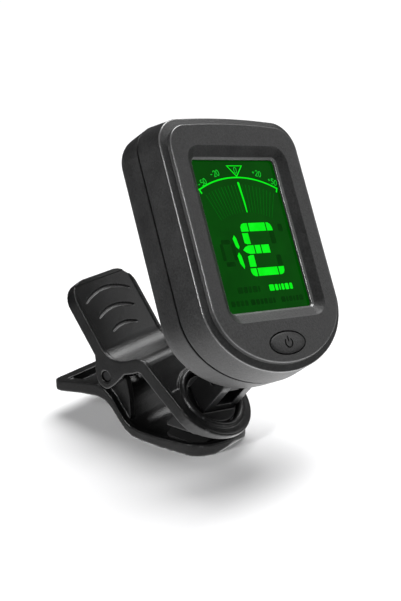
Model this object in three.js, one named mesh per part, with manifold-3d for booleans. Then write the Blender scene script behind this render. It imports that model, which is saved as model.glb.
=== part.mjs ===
// Clip-on instrument tuner: a D-shaped head with a green display, a fork hinge and
// turntable, and a spring clip with a thumb pad.
// Millimetres, +Z up. X runs along the hinge pin, +Y towards the handles.
// The origin is the middle of the flat underside that the clip stands on.
import * as THREE from 'three';
import * as BufferGeometryUtils from 'three/addons/utils/BufferGeometryUtils.js';
import ManifoldModule from 'manifold-3d';

// ---------------------------------------------------------------- driving sizes
const GAP = 0.3;            // clearance between neighbouring pieces
const HALF_W = 9.4;         // half the width of the clip
const WALL = 1.2;           // side walls of the upper jaw
const PIN = [16.6, 11.9];   // hinge pin, y and z
const PIN_R = 1.0;
const NOSE = [-4, 9.8];     // centre of the nose disc on the sloped top, y and z
const SLOPE = 38.3;         // slope of the nose plate, degrees
const SWIVEL = -13.7;       // how far the head is turned on its turntable
const TILT = 21.7;          // lean of the head on the fork hinge
const AXLE_H = 6.8;         // fork hinge above the nose plate
const HEAD_AT = [0, 24.5, 18.2]; // display centre on the face, from the fork hinge

const FACE = { a: 18.25, b: 13.65, low: -13.9, top: 23.7, sag: 0.45, r: 5.8 };
const PLATE_IN = 1.55;      // raised face plate, in from the front rim
const RIM_Z = -1.15;        // front rim below the face plate
const PART_Z = -6.9;        // parting line between front and rear shells
const REAR_Z = -14.5;       // rear face
const DRAFT = 0.8;          // side walls spread towards the parting line
const SHELL = 1.4;          // shell wall
const OPEN = { x: 13.05, y: 17.4, r: 3.2 };   // display recess at the face
const GLASS = { x: 11.05, y: 15.25, r: 0.9 }; // visible glass at its foot
const GLASS_Z = -1.56;
const BUTTON = { y: -22.2, a: 4.6, b: 2.1 };
const SCREWS = [[-14.2, 19.3], [14.2, 19.3], [-12.0, -20.2], [12.0, -20.2]];
const CELL = { y: 5.2, r: 10, z0: -9.6, z1: -12.8 };
const COVER = { x: 11.6, y0: -7.2, y1: 17.2 };  // battery cover on the rear

// ---------------------------------------------------------------- solid helpers
const wasm = await ManifoldModule();
wasm.setup();
const { Manifold, Mesh: MMesh } = wasm;
const V2 = (x, y) => new THREE.Vector2(x, y);
const rad = THREE.MathUtils.degToRad;

function toSolid(geometry) {
  let g = geometry.clone();
  g.deleteAttribute('normal');
  g.deleteAttribute('uv');
  g = BufferGeometryUtils.mergeVertices(g, 1e-4);
  return new Manifold(new MMesh({
    numProp: 3,
    vertProperties: new Float32Array(g.attributes.position.array),
    triVerts: new Uint32Array(g.index.array),
  }));
}

function toGeometry(solid) {
  const m = solid.getMesh();
  const p = new Float32Array(m.numVert * 3);
  for (let i = 0; i < m.numVert; i++) {
    for (let k = 0; k < 3; k++) p[3 * i + k] = m.vertProperties[m.numProp * i + k];
  }
  const g = new THREE.BufferGeometry();
  g.setAttribute('position', new THREE.BufferAttribute(p, 3));
  g.setIndex(new THREE.BufferAttribute(new Uint32Array(m.triVerts), 1));
  g.computeVertexNormals();
  return g;
}

const join = (...s) => s.reduce((a, b) => a.add(b));
const cut = (a, ...s) => s.reduce((x, b) => x.subtract(b), a);

// plan outline in x, y raised from z0 to z1
function prism(points, z0, z1) {
  const shape = new THREE.Shape(points);
  const g = new THREE.ExtrudeGeometry(shape, { depth: z1 - z0, bevelEnabled: false });
  return toSolid(g.translate(0, 0, z0));
}

// side outline in y, z drawn across from x0 to x1
function slab(points, x0, x1) {
  const g = new THREE.ExtrudeGeometry(new THREE.Shape(points.map(([y, z]) => V2(y, z))),
    { depth: x1 - x0, bevelEnabled: false });
  g.applyMatrix4(new THREE.Matrix4().set(0, 0, 1, x0, 1, 0, 0, 0, 0, 1, 0, 0, 0, 0, 0, 1));
  return toSolid(g);
}

const both = (f) => join(f(1), f(-1));
const box = (x0, x1, y0, y1, z0, z1) =>
  prism([V2(x0, y0), V2(x1, y0), V2(x1, y1), V2(x0, y1)], z0, z1);

function ellipse(cx, cy, a, b, n = 32) {
  return Array.from({ length: n }, (_, i) => {
    const t = (2 * Math.PI * i) / n;
    return V2(cx + a * Math.cos(t), cy + b * Math.sin(t));
  });
}

const disc = (x, y, r, z0, z1, n = 32) => prism(ellipse(x, y, r, r, n), z0, z1);
const rodX = (y, z, r, x0, x1, n = 24) =>
  slab(ellipse(y, z, r, r, n).map((p) => [p.x, p.y]), x0, x1);

function roundRect(x0, x1, y0, y1, r, n = 5) {
  const pts = [];
  const corners = [[x1 - r, y1 - r, 0], [x0 + r, y1 - r, 1], [x0 + r, y0 + r, 2], [x1 - r, y0 + r, 3]];
  for (const [cx, cy, q] of corners) {
    for (let i = 0; i <= n; i++) {
      const t = (q + i / n) * Math.PI / 2;
      pts.push(V2(cx + r * Math.cos(t), cy + r * Math.sin(t)));
    }
  }
  return pts;
}

// skin over rings of equal count, each ring given as points and a height, closed by caps
function loft(rings) {
  const n = rings[0].points.length;
  const pos = [];
  const idx = [];
  for (const { points, z } of rings) for (const p of points) pos.push(p.x, p.y, z);
  for (let k = 0; k + 1 < rings.length; k++) {
    for (let i = 0; i < n; i++) {
      const a = k * n + i;
      const b = k * n + (i + 1) % n;
      idx.push(a, b, b + n, a, b + n, a + n);
    }
  }
  const base = (rings.length - 1) * n;
  for (const [a, b, c] of THREE.ShapeUtils.triangulateShape(rings[0].points, [])) idx.push(a, c, b);
  for (const [a, b, c] of THREE.ShapeUtils.triangulateShape(rings.at(-1).points, [])) {
    idx.push(base + a, base + b, base + c);
  }
  const g = new THREE.BufferGeometry();
  g.setAttribute('position', new THREE.Float32BufferAttribute(pos, 3));
  g.setIndex(idx);
  return toSolid(g);
}

function lathe(profile, n = 36) {
  const g = new THREE.LatheGeometry(profile.map(([r, z]) => V2(r, z)), n);
  return toSolid(g.rotateX(Math.PI / 2));
}

function smooth(points, n) {
  const c = new THREE.CatmullRomCurve3(points.map(([y, z]) => new THREE.Vector3(y, z, 0)), false, 'centripetal');
  return c.getPoints(n).map((p) => [p.x, p.y]);
}

// a line moved sideways by d, to the right of its direction
function offset(line, d) {
  return line.map(([y, z], i) => {
    const [y0, z0] = line[Math.max(0, i - 1)];
    const [y1, z1] = line[Math.min(line.length - 1, i + 1)];
    const l = Math.hypot(y1 - y0, z1 - z0);
    return [y + d * (z1 - z0) / l, z - d * (y1 - y0) / l];
  });
}

function node(name, solid, color, roughness, metalness = 0) {
  const m = new THREE.Mesh(solid.isBufferGeometry ? solid : toGeometry(solid),
    new THREE.MeshStandardMaterial({ color, roughness, metalness }));
  m.name = name;
  return m;
}

// ---------------------------------------------------------------- frames
const slope = rad(SLOPE);
const noseFrame = new THREE.Matrix4().makeRotationX(slope).setPosition(0, NOSE[0], NOSE[1]);
const onNose = (s) => s.transform(noseFrame.elements);
// a point on the nose plate, t up the slope and h above it
const nosePoint = (t, h = 0) => [
  NOSE[0] + t * Math.cos(slope) - h * Math.sin(slope),
  NOSE[1] + t * Math.sin(slope) + h * Math.cos(slope)];

// ---------------------------------------------------------------- clip
const TOP_LINE = [nosePoint(0), nosePoint(3.5), nosePoint(7), nosePoint(10.2), [6.1, 17.65],
  [8.2, 17.85], [10.6, 16.9], [13.2, 16.2], [15.2, 16.35], [16.9, 17.3], [18.6, 19.4],
  [21.3, 22.9], [24.0, 26.4], [26.7, 29.9]];
const PAD_DIR = [0.611, 0.792];

function upperJaw() {
  const top = smooth(TOP_LINE, 40);
  const under = (d) => offset(top, d);
  const band = (d0, d1) => [...under(d0), ...under(d1).reverse()];
  let body = slab(band(0, 2.9), -HALF_W, HALF_W);
  // nose disc with a softened top edge, trimmed flat underneath
  const nose = lathe([[0, -2.9], [HALF_W, -2.9], [HALF_W, -0.4], [HALF_W - 0.12, -0.12], [HALF_W - 0.4, 0],
    [0, 0]], 48);
  body = join(body, onNose(nose));
  // block under the nose disc that carries the grip pad, round at the front like the disc
  const block = slab([[-8.4, 4.9], [1.5, 4.9], [1.2, 6.1], [-1.4, 8.8], nosePoint(-0.5, -1), nosePoint(-7, -1)],
    -HALF_W + 1.2, HALF_W - 1.2);
  body = join(body, block.intersect(join(onNose(disc(0, 0, HALF_W - 0.6, -12, 0, 40)), box(-12, 12, 0, 12, 0, 20))));
  body = cut(body, slab([[-20, -5], [-20, 3.05], [-10.6, 3.05], [-6.2, 4.9], [6, 4.9], [6, -5]], -20, 20));
  // ears round the pin
  const ear = smooth([[20.6, 18.4], [19.5, 15.6], [19.5, 12.2], [18.6, 9.9], [16.6, 9.1], [14.9, 10],
    [12.6, 12.3], [10.4, 14.6], [8.4, 15.5]], 18);
  body = join(body, both((s) => slab([...ear, [10.5, 16.5], [15.5, 16.1]],
    s > 0 ? HALF_W - WALL : -HALF_W, s > 0 ? HALF_W : -HALF_W + WALL)));
  // the top plate sits a little below the side rims and the nose disc
  const flat = offset(top, -2);
  body = cut(body, cut(slab([...flat.slice(4), ...under(0.3).slice(4).reverse()], -HALF_W + 0.85, HALF_W - 0.85),
    onNose(disc(0, 0, 7.8, -3, 3, 40))));
  // the end rim of the thumb pad comes back
  const end = top.at(-1);
  const along = (q, t, n) => [q[0] + t * PAD_DIR[0] + n * PAD_DIR[1], q[1] + t * PAD_DIR[1] - n * PAD_DIR[0]];
  body = join(body, slab([along(end, -0.85, 0), along(end, 0, 0), along(end, 0, 2.9), along(end, -0.85, 2.9)],
    -HALF_W, HALF_W));
  // hollow underneath, from the grip block to the end of the thumb pad
  const inner = under(1.4);
  const deep = under(7);
  const k0 = 11;
  const k1 = inner.length - 2;
  body = cut(body, slab([...inner.slice(k0, k1), ...deep.slice(k0, k1).reverse()],
    -HALF_W + WALL, HALF_W - WALL));
  // rounded corners of the thumb pad
  const padFrame = new THREE.Matrix4().makeBasis(new THREE.Vector3(1, 0, 0),
    new THREE.Vector3(0, PAD_DIR[0], PAD_DIR[1]), new THREE.Vector3(0, -PAD_DIR[1], PAD_DIR[0]))
    .setPosition(0, end[0], end[1]);
  const R = 4.6;
  const corner = (s) => {
    const arc = [];
    for (let i = 0; i <= 8; i++) {
      const t = i / 8 * Math.PI / 2;
      arc.push(V2(s * (HALF_W - R + R * Math.sin(t)), -R + R * Math.cos(t)));
    }
    const pts = [...arc, V2(s * (HALF_W + 1), -R), V2(s * (HALF_W + 1), 1), V2(s * (HALF_W - R), 1)];
    return prism(s > 0 ? pts.reverse() : pts, -4.5, 1.5).transform(padFrame.elements);
  };
  body = cut(body, corner(1), corner(-1));
  // finger grooves: three arcs across the thumb pad
  const groove = (y, half, rise) => {
    const up = [];
    const down = [];
    for (let i = 0; i <= 12; i++) {
      const k = 2 * i / 12 - 1;
      const yy = y + rise * (1 - k * k);
      const w = 0.2 + 0.12 * (1 - k ** 4);
      up.push(V2(half * k, yy + w));
      down.push(V2(half * k, yy - w));
    }
    return prism([...down, ...up.reverse()], -0.65, 1).transform(padFrame.elements);
  };
  body = cut(body, groove(-5.0, 6.9, 1.9), groove(-8.9, 5.6, 1.4), groove(-12.6, 4.0, 0.9));
  // pin holes, and the socket the turntable sits in
  body = cut(body, rodX(PIN[0], PIN[1], PIN_R + 0.2, -12, 12));
  const socket = lathe([[0, -1.7], [6.3, -1.7], [6.3, 1.2], [0, 1.2]], 40);
  const lip = lathe([[6.3, -0.5], [7.5, -0.5], [7.5, 0.2], [7.35, 0.5], [7.05, 0.72], [6.75, 0.72], [6.45, 0.5],
    [6.3, 0.2], [6.3, -0.5]], 40);
  body = join(cut(body, onNose(socket)), onNose(lip));
  return cut(body, onNose(join(disc(0, 0, 1.5, -12, 1, 20), disc(0, 0, 2.9, -12, -2.8, 24))));
}

const JAW_UNDER = [[-7.4, 0], [7.4, 0], [9.8, 0.25], [11.8, 1.3], [13.6, 3.2], [15.3, 5.1], [17.1, 6.35],
  [19.4, 6.7], [24, 6.15], [29.6, 5.1], [31.2, 5.1], [31.9, 5.7]];
const JAW_RIM = [[32.2, 7.2], [26, 8.35], [19.3, 9.5], [17.0, 8.9], [15.1, 7.5], [13.4, 5.3], [11.8, 3.5],
  [10.1, 2.45], [7.5, 2.1], [2.1, 2.2], [-5.7, 2.6], [-9.8, 2.45]];

// the lower jaw seen from above, d in from its rim: a blunt round nose and a square handle
function jawPlan(d) {
  const side = HALF_W - d;
  const tip = side - 0.5;
  const nose = [];
  for (let i = 0; i <= 20; i++) {
    const t = Math.PI * i / 20;
    nose.push(V2(-tip * Math.cos(t), -3.6 - (6.1 - d) * Math.sin(t)));
  }
  return [...roundRect(-side, side, 20, 32.2 - d, 1.6 - d / 2).slice(0, 12), V2(-side, 3), ...nose, V2(side, 3)];
}

function lowerJaw() {
  const under = [[-9.8, 1.9], [-9.5, 0.9], [-8.7, 0.15], ...JAW_UNDER];
  let body = slab([...under, ...JAW_RIM], -HALF_W, HALF_W);
  // channel between the side rims
  const floor = offset(smooth(JAW_UNDER.slice(0, -2), 24), -1.5);
  body = cut(body, slab([[-9.0, 1.5], ...floor.slice(1), [29.8, 12], [-9.0, 12]], -HALF_W + 1.4, HALF_W - 1.4)
    .intersect(prism(jawPlan(1.4), -1, 14)));
  const plan = jawPlan(0);
  body = body.intersect(prism(plan, -1, 14));
  // end bar and side bars of the handle, and the pocket between them
  body = join(body, slab([[29.2, 5.2], [31, 5.2], [32.2, 7.2], [29.2, 7.75]], -HALF_W + 1, HALF_W - 1)
    .intersect(prism(plan, -1, 14)));
  body = join(body, both((s) => slab([[19.4, 6.75], [31, 5.2], [31.6, 6.9], [19.4, 9.05]],
    s > 0 ? 6.2 : -HALF_W + 1, s > 0 ? HALF_W - 1 : -6.2)));
  body = cut(body, prism(roundRect(-6.2, 6.2, 20.4, 29.2, 1.0, 3), -1, 14)
    .intersect(slab([[20, 7.45], [24, 6.9], [29.5, 5.85], [29.5, 14], [20, 14]], -8, 8)));
  // hinge lugs between the ears
  const lug = smooth([[19.3, 8.0], [19.6, 11.9], [18.7, 14.0], [16.6, 14.9], [14.5, 14.1], [12.6, 12.2],
    [11.6, 8.6], [11.3, 3.2]], 16);
  body = join(body, both((s) => slab([...lug, [13.4, 4.2], [17, 7.2]], s > 0 ? 6.3 : -7.9, s > 0 ? 7.9 : -6.3)));
  return cut(body, rodX(PIN[0], PIN[1], PIN_R + 0.2, -12, 12, 24));
}

// coil round the pin with a leg under each handle
function torsionSpring() {
  const pts = [];
  const r = 1.82;
  const start = rad(132);
  const finish = rad(252 + 4 * 360);
  const half = 2.7;
  const leg = (ang, len) => [PIN[0] + r * Math.cos(ang) + len * Math.cos(ang - Math.PI / 2),
    PIN[1] + r * Math.sin(ang) + len * Math.sin(ang - Math.PI / 2)];
  const [ly, lz] = leg(start, 8.8);
  pts.push(new THREE.Vector3(-half, ly, lz));
  const mid = leg(start, 4.5);
  pts.push(new THREE.Vector3(-half, ...mid));
  const steps = 60;
  for (let i = 0; i <= steps; i++) {
    const t = start + (finish - start) * i / steps;
    pts.push(new THREE.Vector3(half * (2 * i / steps - 1), PIN[0] + r * Math.cos(t), PIN[1] + r * Math.sin(t)));
  }
  const a = finish + Math.PI / 2;
  for (const l of [2.0, 3.9]) {
    pts.push(new THREE.Vector3(half, PIN[0] + r * Math.cos(finish) + l * Math.cos(a),
      PIN[1] + r * Math.sin(finish) + l * Math.sin(a)));
  }
  const path = new THREE.CurvePath();
  for (let i = 0; i + 1 < pts.length; i++) path.add(new THREE.LineCurve3(pts[i], pts[i + 1]));
  const curve = new THREE.CatmullRomCurve3(pts, false, 'centripetal');
  const wire = new THREE.Shape(ellipse(0, 0, 0.42, 0.42, 6));
  return new THREE.ExtrudeGeometry(wire, { steps: 96, bevelEnabled: false, extrudePath: curve });
}

const gripPad = (y0, y1, z0, z1) => loft([
  { points: roundRect(-6.9, 6.9, y0, y1, 2.2), z: z0 },
  { points: roundRect(-6.9, 6.9, y0, y1, 2.2), z: z1 - 0.15 },
  { points: roundRect(-6.75, 6.75, y0 + 0.15, y1 - 0.15, 2.05), z: z1 }]);

// ---------------------------------------------------------------- turntable and fork
const FORK = { out: 4.3, in: 2.1, y0: -3.2, y1: 3.2, r: 3.2 };

function knuckle() {
  // turntable disc in the socket and the two prongs rising from it
  const plate = lathe([[0, -1.4], [5.9, -1.4], [5.9, -0.6], [5.7, -0.4], [0, -0.4]], 40);
  const prong = (x0, x1) => {
    const side = [[FORK.y0, -0.8], [FORK.y1, -0.8]];
    for (let i = 0; i <= 10; i++) {
      const t = Math.PI * i / 10;
      side.push([FORK.r * Math.cos(t), AXLE_H + FORK.r * Math.sin(t)]);
    }
    return slab(side, x0, x1);
  };
  let body = join(plate, prong(-FORK.out, -FORK.in), prong(FORK.in, FORK.out),
    box(-FORK.out, FORK.out, FORK.y0, FORK.y1, -0.8, 1.7));
  body = cut(body, rodX(0, AXLE_H, 1.2, -9, 9), disc(0, 0, 1.15, -4, 1.2, 20));
  return body;
}

function swivelScrew() {
  return lathe([[0, -3.6], [0.5, -3.6], [0.5, -3.9], [2.3, -3.9], [2.4, -3.5], [2.4, -3.05], [0.95, -3.05],
    [0.95, 0.9], [0, 0.9]], 24);
}

// ---------------------------------------------------------------- head
// D-shaped outline: arched top, straight sides, rounded foot; grow > 0 is outwards
function outline(grow) {
  const a = FACE.a + grow;
  const b = FACE.b + grow;
  const top = FACE.top + grow;
  const r = Math.max(0.8, FACE.r + grow * 0.7);
  const pts = [];
  const cy = top - FACE.sag - r;
  for (let i = 0; i <= 9; i++) {
    const t = i / 9 * Math.PI / 2;
    pts.push(V2(a - r + r * Math.cos(t), cy + r * Math.sin(t)));
  }
  for (const k of [0.5, 0, -0.5]) pts.push(V2((a - r) * k, top - FACE.sag * k * k));
  for (let i = 0; i <= 9; i++) {
    const t = (1 + i / 9) * Math.PI / 2;
    pts.push(V2(-a + r + r * Math.cos(t), cy + r * Math.sin(t)));
  }
  for (let i = 0; i <= 32; i++) {
    const t = Math.PI + Math.PI * i / 32;
    pts.push(V2(a * Math.cos(t), FACE.low + b * Math.sin(t)));
  }
  return pts;
}

const ring = (grow, z) => ({ points: outline(grow), z });
const grownHead = (rings) => loft(rings.map(([grow, z]) => ring(grow, z)));

function frontBezel() {
  let body = grownHead([[DRAFT, PART_Z], [0.06, -1.75], [0, -1.45], [-0.12, -1.2], [-0.35, RIM_Z + 0.1],
    [-PLATE_IN + 0.2, -0.62], [-PLATE_IN + 0.04, -0.6], [-PLATE_IN - 0.02, -0.22], [-PLATE_IN - 0.12, -0.06],
    [-PLATE_IN - 0.3, 0]]);
  body = cut(body, grownHead([[-SHELL + DRAFT, PART_Z - 1], [-SHELL, GLASS_Z - 0.55]]));
  // posts for the screws
  for (const [x, y] of SCREWS) {
    body = join(body, disc(x, y, 2.1, PART_Z, -1.9, 16));
  }
  body = body.intersect(grownHead([[DRAFT, PART_Z], [0.06, -1.75], [0, 1]]));
  for (const [x, y] of SCREWS) body = cut(body, disc(x, y, 0.75, PART_Z - 1, -3.2, 14));
  // display recess with sloping walls, and the seat behind it
  const rr = (o, z, g = 0) => ({ points: roundRect(-o.x - g, o.x + g, -o.y - g, o.y + g, o.r + g), z });
  body = cut(body, loft([rr(GLASS, GLASS_Z - 2.5, 0), rr(GLASS, GLASS_Z + 0.02, 0), rr(OPEN, -0.12, 0),
    rr(OPEN, 0, 0.14), rr(OPEN, 0.5, 0.6)]));
  const hole = { points: ellipse(0, BUTTON.y, BUTTON.a + 0.22, BUTTON.b + 0.22, 40) };
  body = cut(body, loft([{ ...hole, z: -4 }, { ...hole, z: 1 }]));
  return body;
}

function rearCase() {
  const skin = grownHead([[-2.9, REAR_Z], [-1.6, REAR_Z + 0.25], [-0.6, REAR_Z + 0.8], [0.2, REAR_Z + 1.7],
    [0.55, REAR_Z + 3.2], [DRAFT - 0.08, PART_Z - 0.6], [DRAFT - 0.2, PART_Z - GAP]]);
  let body = cut(skin, grownHead([[-2.2, REAR_Z + 1.5], [-SHELL + 0.4, REAR_Z + 3.0],
    [-SHELL + DRAFT - 0.2, PART_Z + 1]]));
  // battery well: a floor with a wall round the cell
  const well = disc(0, CELL.y, CELL.r + 1.5, REAR_Z + 1.0, -8.7, 40);
  body = join(body, well.intersect(box(-14, 14, -12, 22, -20, 0)));
  body = cut(body, disc(0, CELL.y, CELL.r + 0.35, -16, -9.3, 40));
  body = cut(body, box(-3, 3, CELL.y + CELL.r - 1, CELL.y + CELL.r + 2.6, -16, -9.3));
  // seat for the sliding cover
  body = cut(body, prism(roundRect(-COVER.x - 0.3, COVER.x + 0.3, COVER.y0 - 0.3, COVER.y1 + 0.3, 1.6),
    REAR_Z - 1, REAR_Z + 1.3));
  for (const [x, y] of SCREWS) {
    body = join(body, disc(x, y, 2.4, REAR_Z + 1.2, PART_Z - GAP, 16));
    body = cut(body, disc(x, y, 1.05, -20, 0, 14), disc(x, y, 1.75, -20, REAR_Z + 2.6, 16));
  }
  body = body.intersect(skin);
  // hinge lug at the lower end
  const [, hy, hz] = HEAD_AT;
  const lug = [];
  for (let i = 0; i <= 12; i++) {
    const t = Math.PI * (1 + i / 12);
    lug.push([-hy + 2.8 * Math.cos(t), -hz + 2.8 * Math.sin(t)]);
  }
  lug.push([-hy + 5.4, REAR_Z + 0.8], [-hy + 2.0, REAR_Z + 1.8], [-hy - 0.6, REAR_Z + 1.6]);
  body = join(body, slab(lug, -FORK.in + GAP, FORK.in - GAP));
  return cut(body, rodX(-hy, -hz, 1.2, -9, 9));
}

function batteryCover() {
  const panel = loft([
    { points: roundRect(-COVER.x + 0.3, COVER.x - 0.3, COVER.y0 + 0.3, COVER.y1 - 0.3, 1.3), z: REAR_Z + 0.02 },
    { points: roundRect(-COVER.x, COVER.x, COVER.y0, COVER.y1, 1.5), z: REAR_Z + 0.3 },
    { points: roundRect(-COVER.x, COVER.x, COVER.y0, COVER.y1, 1.5), z: REAR_Z + 1.1 }]);
  const ridges = [13.2, 14.5, 15.8].map((y) => box(-4.5, 4.5, y - 0.25, y + 0.25, REAR_Z - 1, REAR_Z + 0.35));
  return cut(panel, ...ridges);
}

function screw(x, y) {
  return join(disc(x, y, 1.5, REAR_Z + 1.4, REAR_Z + 2.3, 16), disc(x, y, 0.55, REAR_Z + 2, -3.5, 12))
    .subtract(box(x - 0.9, x + 0.9, y - 0.15, y + 0.15, REAR_Z, REAR_Z + 1.8))
    .subtract(box(x - 0.15, x + 0.15, y - 0.9, y + 0.9, REAR_Z, REAR_Z + 1.8));
}

function powerButton() {
  const e = (g, z) => ({ points: ellipse(0, BUTTON.y, BUTTON.a + g, BUTTON.b + g, 40), z });
  const cap = loft([e(0, -2.3), e(0, 0.0), e(-0.12, 0.14), e(-0.5, 0.24), e(-1.2, 0.3)]);
  return join(cap, loft([e(0.7, -2.7), e(0.7, -2.2)]), disc(0, BUTTON.y, 1.2, -3.5, -2.4, 16));
}

function circuitBoard() {
  const b = outline(-2.6);
  let body = prism(b, -6.5, -5.7);
  for (const [x, y] of SCREWS) body = cut(body, disc(x, y, 2.45, -9, 0, 16));
  return body;
}

function displayFrame() {
  return cut(prism(roundRect(-13.5, 13.5, -17.4, 17.0, 0.6, 2), -5.4, -2.9),
    prism(roundRect(-12.6, 12.6, -16.6, 16.3, 0.4, 2), -6, 0));
}

function batteryContact() {
  // strip bent up beside the cell
  return join(box(-1.8, 1.8, CELL.y + CELL.r + 0.5, CELL.y + CELL.r + 0.8, CELL.z1 + 0.4, -9.7),
    box(-1.8, 1.8, CELL.y + CELL.r + 0.5, CELL.y + CELL.r + 2.0, -9.8, -9.5));
}

function coinCell() {
  return loft([{ points: ellipse(0, CELL.y, CELL.r - 0.35, CELL.r - 0.35, 40), z: CELL.z1 },
    { points: ellipse(0, CELL.y, CELL.r, CELL.r, 40), z: CELL.z1 + 0.3 },
    { points: ellipse(0, CELL.y, CELL.r, CELL.r, 40), z: CELL.z0 - 0.7 },
    { points: ellipse(0, CELL.y, CELL.r - 1.1, CELL.r - 1.1, 40), z: CELL.z0 - 0.5 },
    { points: ellipse(0, CELL.y, CELL.r - 1.3, CELL.r - 1.3, 40), z: CELL.z0 }]);
}

// ---------------------------------------------------------------- assembly
const BLACK = 0x1b1b1c;
const CHARCOAL = 0x2a2a2b;
const STEEL = 0xb9bcc0;

const tuner = new THREE.Group();
tuner.name = 'clip_on_tuner';

const clip = new THREE.Group();
clip.add(
  node('lower_jaw', lowerJaw(), BLACK, 0.45),
  node('upper_jaw', upperJaw(), BLACK, 0.45),
  node('hinge_pin', rodX(PIN[0], PIN[1], PIN_R, -HALF_W + 0.35, HALF_W - 0.35), STEEL, 0.3, 1),
  node('torsion_spring', torsionSpring(), STEEL, 0.3, 1),
  node('lower_grip_pad', gripPad(-6.0, 3.4, 1.56, 2.05), 0x232323, 0.8),
  node('upper_grip_pad', gripPad(-1.2, 5.8, 0, 0.5).rotate([180, 0, 0]).translate([0, 0, 4.8]), 0x232323, 0.8),
);

const turn = new THREE.Group();
turn.position.set(0, NOSE[0], NOSE[1]);
turn.rotation.set(slope, 0, 0);
const swivel = new THREE.Group();
swivel.rotation.z = rad(SWIVEL);
turn.add(swivel);
swivel.add(
  node('tilt_knuckle', knuckle(), BLACK, 0.5),
  node('swivel_screw', swivelScrew(), STEEL, 0.3, 1),
);
const pinRod = rodX(0, AXLE_H, 0.95, -FORK.out + 0.1, FORK.out - 0.1, 20);
swivel.add(node('tilt_pin', pinRod, STEEL, 0.3, 1));

const lean = new THREE.Group();
lean.position.set(0, 0, AXLE_H);
lean.rotation.x = rad(TILT);
swivel.add(lean);
const head = new THREE.Group();
head.position.set(...HEAD_AT);
lean.add(head);
const glassRect = (x, y, r) => roundRect(-x, x, -y, y, r, 3);
head.add(
  node('front_bezel', frontBezel(), CHARCOAL, 0.6),
  node('rear_case', rearCase(), CHARCOAL, 0.6),
  node('display_lens', prism(glassRect(12.9, 16.6, 0.8), -2.6, -2.2), 0x0a3a10, 0.1),
  node('lcd_panel', prism(glassRect(12.3, 16.0, 0.3), -4.2, -2.85), 0x0a5a14, 0.15),
  node('backlight', box(-12.3, 12.3, -14.2, 16.0, -5.4, -4.5), 0xbfe8c0, 0.4),
  node('display_frame', displayFrame(), 0xd8d8d6, 0.5),
  node('lcd_connector', box(-10.5, 10.5, -16.1, -14.6, -5.5, -4.4), 0x8a5a6a, 0.7),
  node('circuit_board', circuitBoard(), 0x1d5c33, 0.5),
  node('controller_chip', box(-3.5, 3.5, -14.6, -8.2, -7.5, -6.7), 0x141414, 0.5),
  node('power_switch', box(-2.3, 2.3, BUTTON.y - 1.9, BUTTON.y + 1.9, -5.5, -4.1), 0x9a9da0, 0.4),
  node('power_button', powerButton(), CHARCOAL, 0.55),
  node('battery_cover', batteryCover(), CHARCOAL, 0.6),
  node('coin_cell', coinCell(), STEEL, 0.25, 1),
  node('battery_contact_side', batteryContact(), 0xc9b27a, 0.35, 1),
  node('battery_contact_floor', disc(0, CELL.y, 4, -9.5, -9.35, 24), 0xc9b27a, 0.35, 1),
  node('piezo_disc', disc(0, -14.6, 4.6, REAR_Z + 1.65, REAR_Z + 2.05, 28), 0xc8a24a, 0.4, 1),
);
SCREWS.forEach(([x, y], i) => head.add(node(`case_screw_${i + 1}`, screw(x, y), STEEL, 0.35, 1)));

tuner.add(clip, turn);
tuner.updateMatrixWorld(true);
export default tuner;
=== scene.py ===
import math

import bmesh
import bpy
from mathutils import Matrix, Vector


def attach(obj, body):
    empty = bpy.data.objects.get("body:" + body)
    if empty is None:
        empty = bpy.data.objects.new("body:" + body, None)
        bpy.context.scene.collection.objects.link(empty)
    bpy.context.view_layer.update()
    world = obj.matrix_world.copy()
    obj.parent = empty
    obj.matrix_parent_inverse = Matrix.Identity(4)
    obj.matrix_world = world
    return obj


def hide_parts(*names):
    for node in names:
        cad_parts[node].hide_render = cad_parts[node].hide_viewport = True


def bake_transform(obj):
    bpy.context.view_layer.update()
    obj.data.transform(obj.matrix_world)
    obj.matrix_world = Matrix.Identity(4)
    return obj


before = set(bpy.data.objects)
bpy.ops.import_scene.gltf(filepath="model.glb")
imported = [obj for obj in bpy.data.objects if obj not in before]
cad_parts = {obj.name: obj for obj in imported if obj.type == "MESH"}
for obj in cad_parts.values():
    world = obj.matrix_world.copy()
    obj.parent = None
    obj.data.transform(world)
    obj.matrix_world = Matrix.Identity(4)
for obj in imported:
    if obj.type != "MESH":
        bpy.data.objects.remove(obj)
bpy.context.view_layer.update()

MM = 0.001

# ------------------------------------------------------------------ sizes, in mm and degrees
PIN = (16.6, 11.9)                       # clip hinge, y and z
NOSE = (0.0, -4.0, 9.8)                  # middle of the turntable's seat
SLOPE, SWIVEL, TILT = 38.3, -13.7, 21.7
AXLE_H = 6.8                             # tilt axle above the seat
HEAD_AT = (0.0, 24.5, 18.2)              # head's face from the tilt axle
FACE = dict(a=18.25, b=13.65, low=-13.9, top=23.7, sag=0.45, r=5.8)
PLATE_IN = 1.55
RIM_Z, PART_Z, REAR_Z = -1.15, -6.9, -14.5
DRAFT, SHELL, GAP = 0.8, 1.4, 0.3
OPEN = (13.05, 17.4, 3.2)                # half width, half height, corner radius
GLASS = (11.05, 15.25, 0.9)
GLASS_Z, LENS_Z = -1.56, -2.2
BUTTON = (-22.2, 4.6, 2.1)               # y, half width, half height
SCREWS = ((-14.2, 19.3), (14.2, 19.3), (-12.0, -20.2), (12.0, -20.2))
POST_R, SCREW_HEAD_R, SCREW_R = 2.3, 1.75, 1.05
CELL_Y, CELL_R = 5.2, 10.0
WELL_WALL, WELL_TOP, WELL_FLOOR = 1.5, -8.7, -9.3
COVER = (11.6, -7.2, 17.2)               # half width, lowest y, highest y
COVER_GAP = 0.3
COVER_GROOVES = (13.2, 14.5, 15.8)
LUG_R, LUG_HALF, BORE_R = 2.8, 1.8, 1.2
COIL_R, COIL_HALF, WIRE_R = 1.82, 2.7, 0.42
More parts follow.
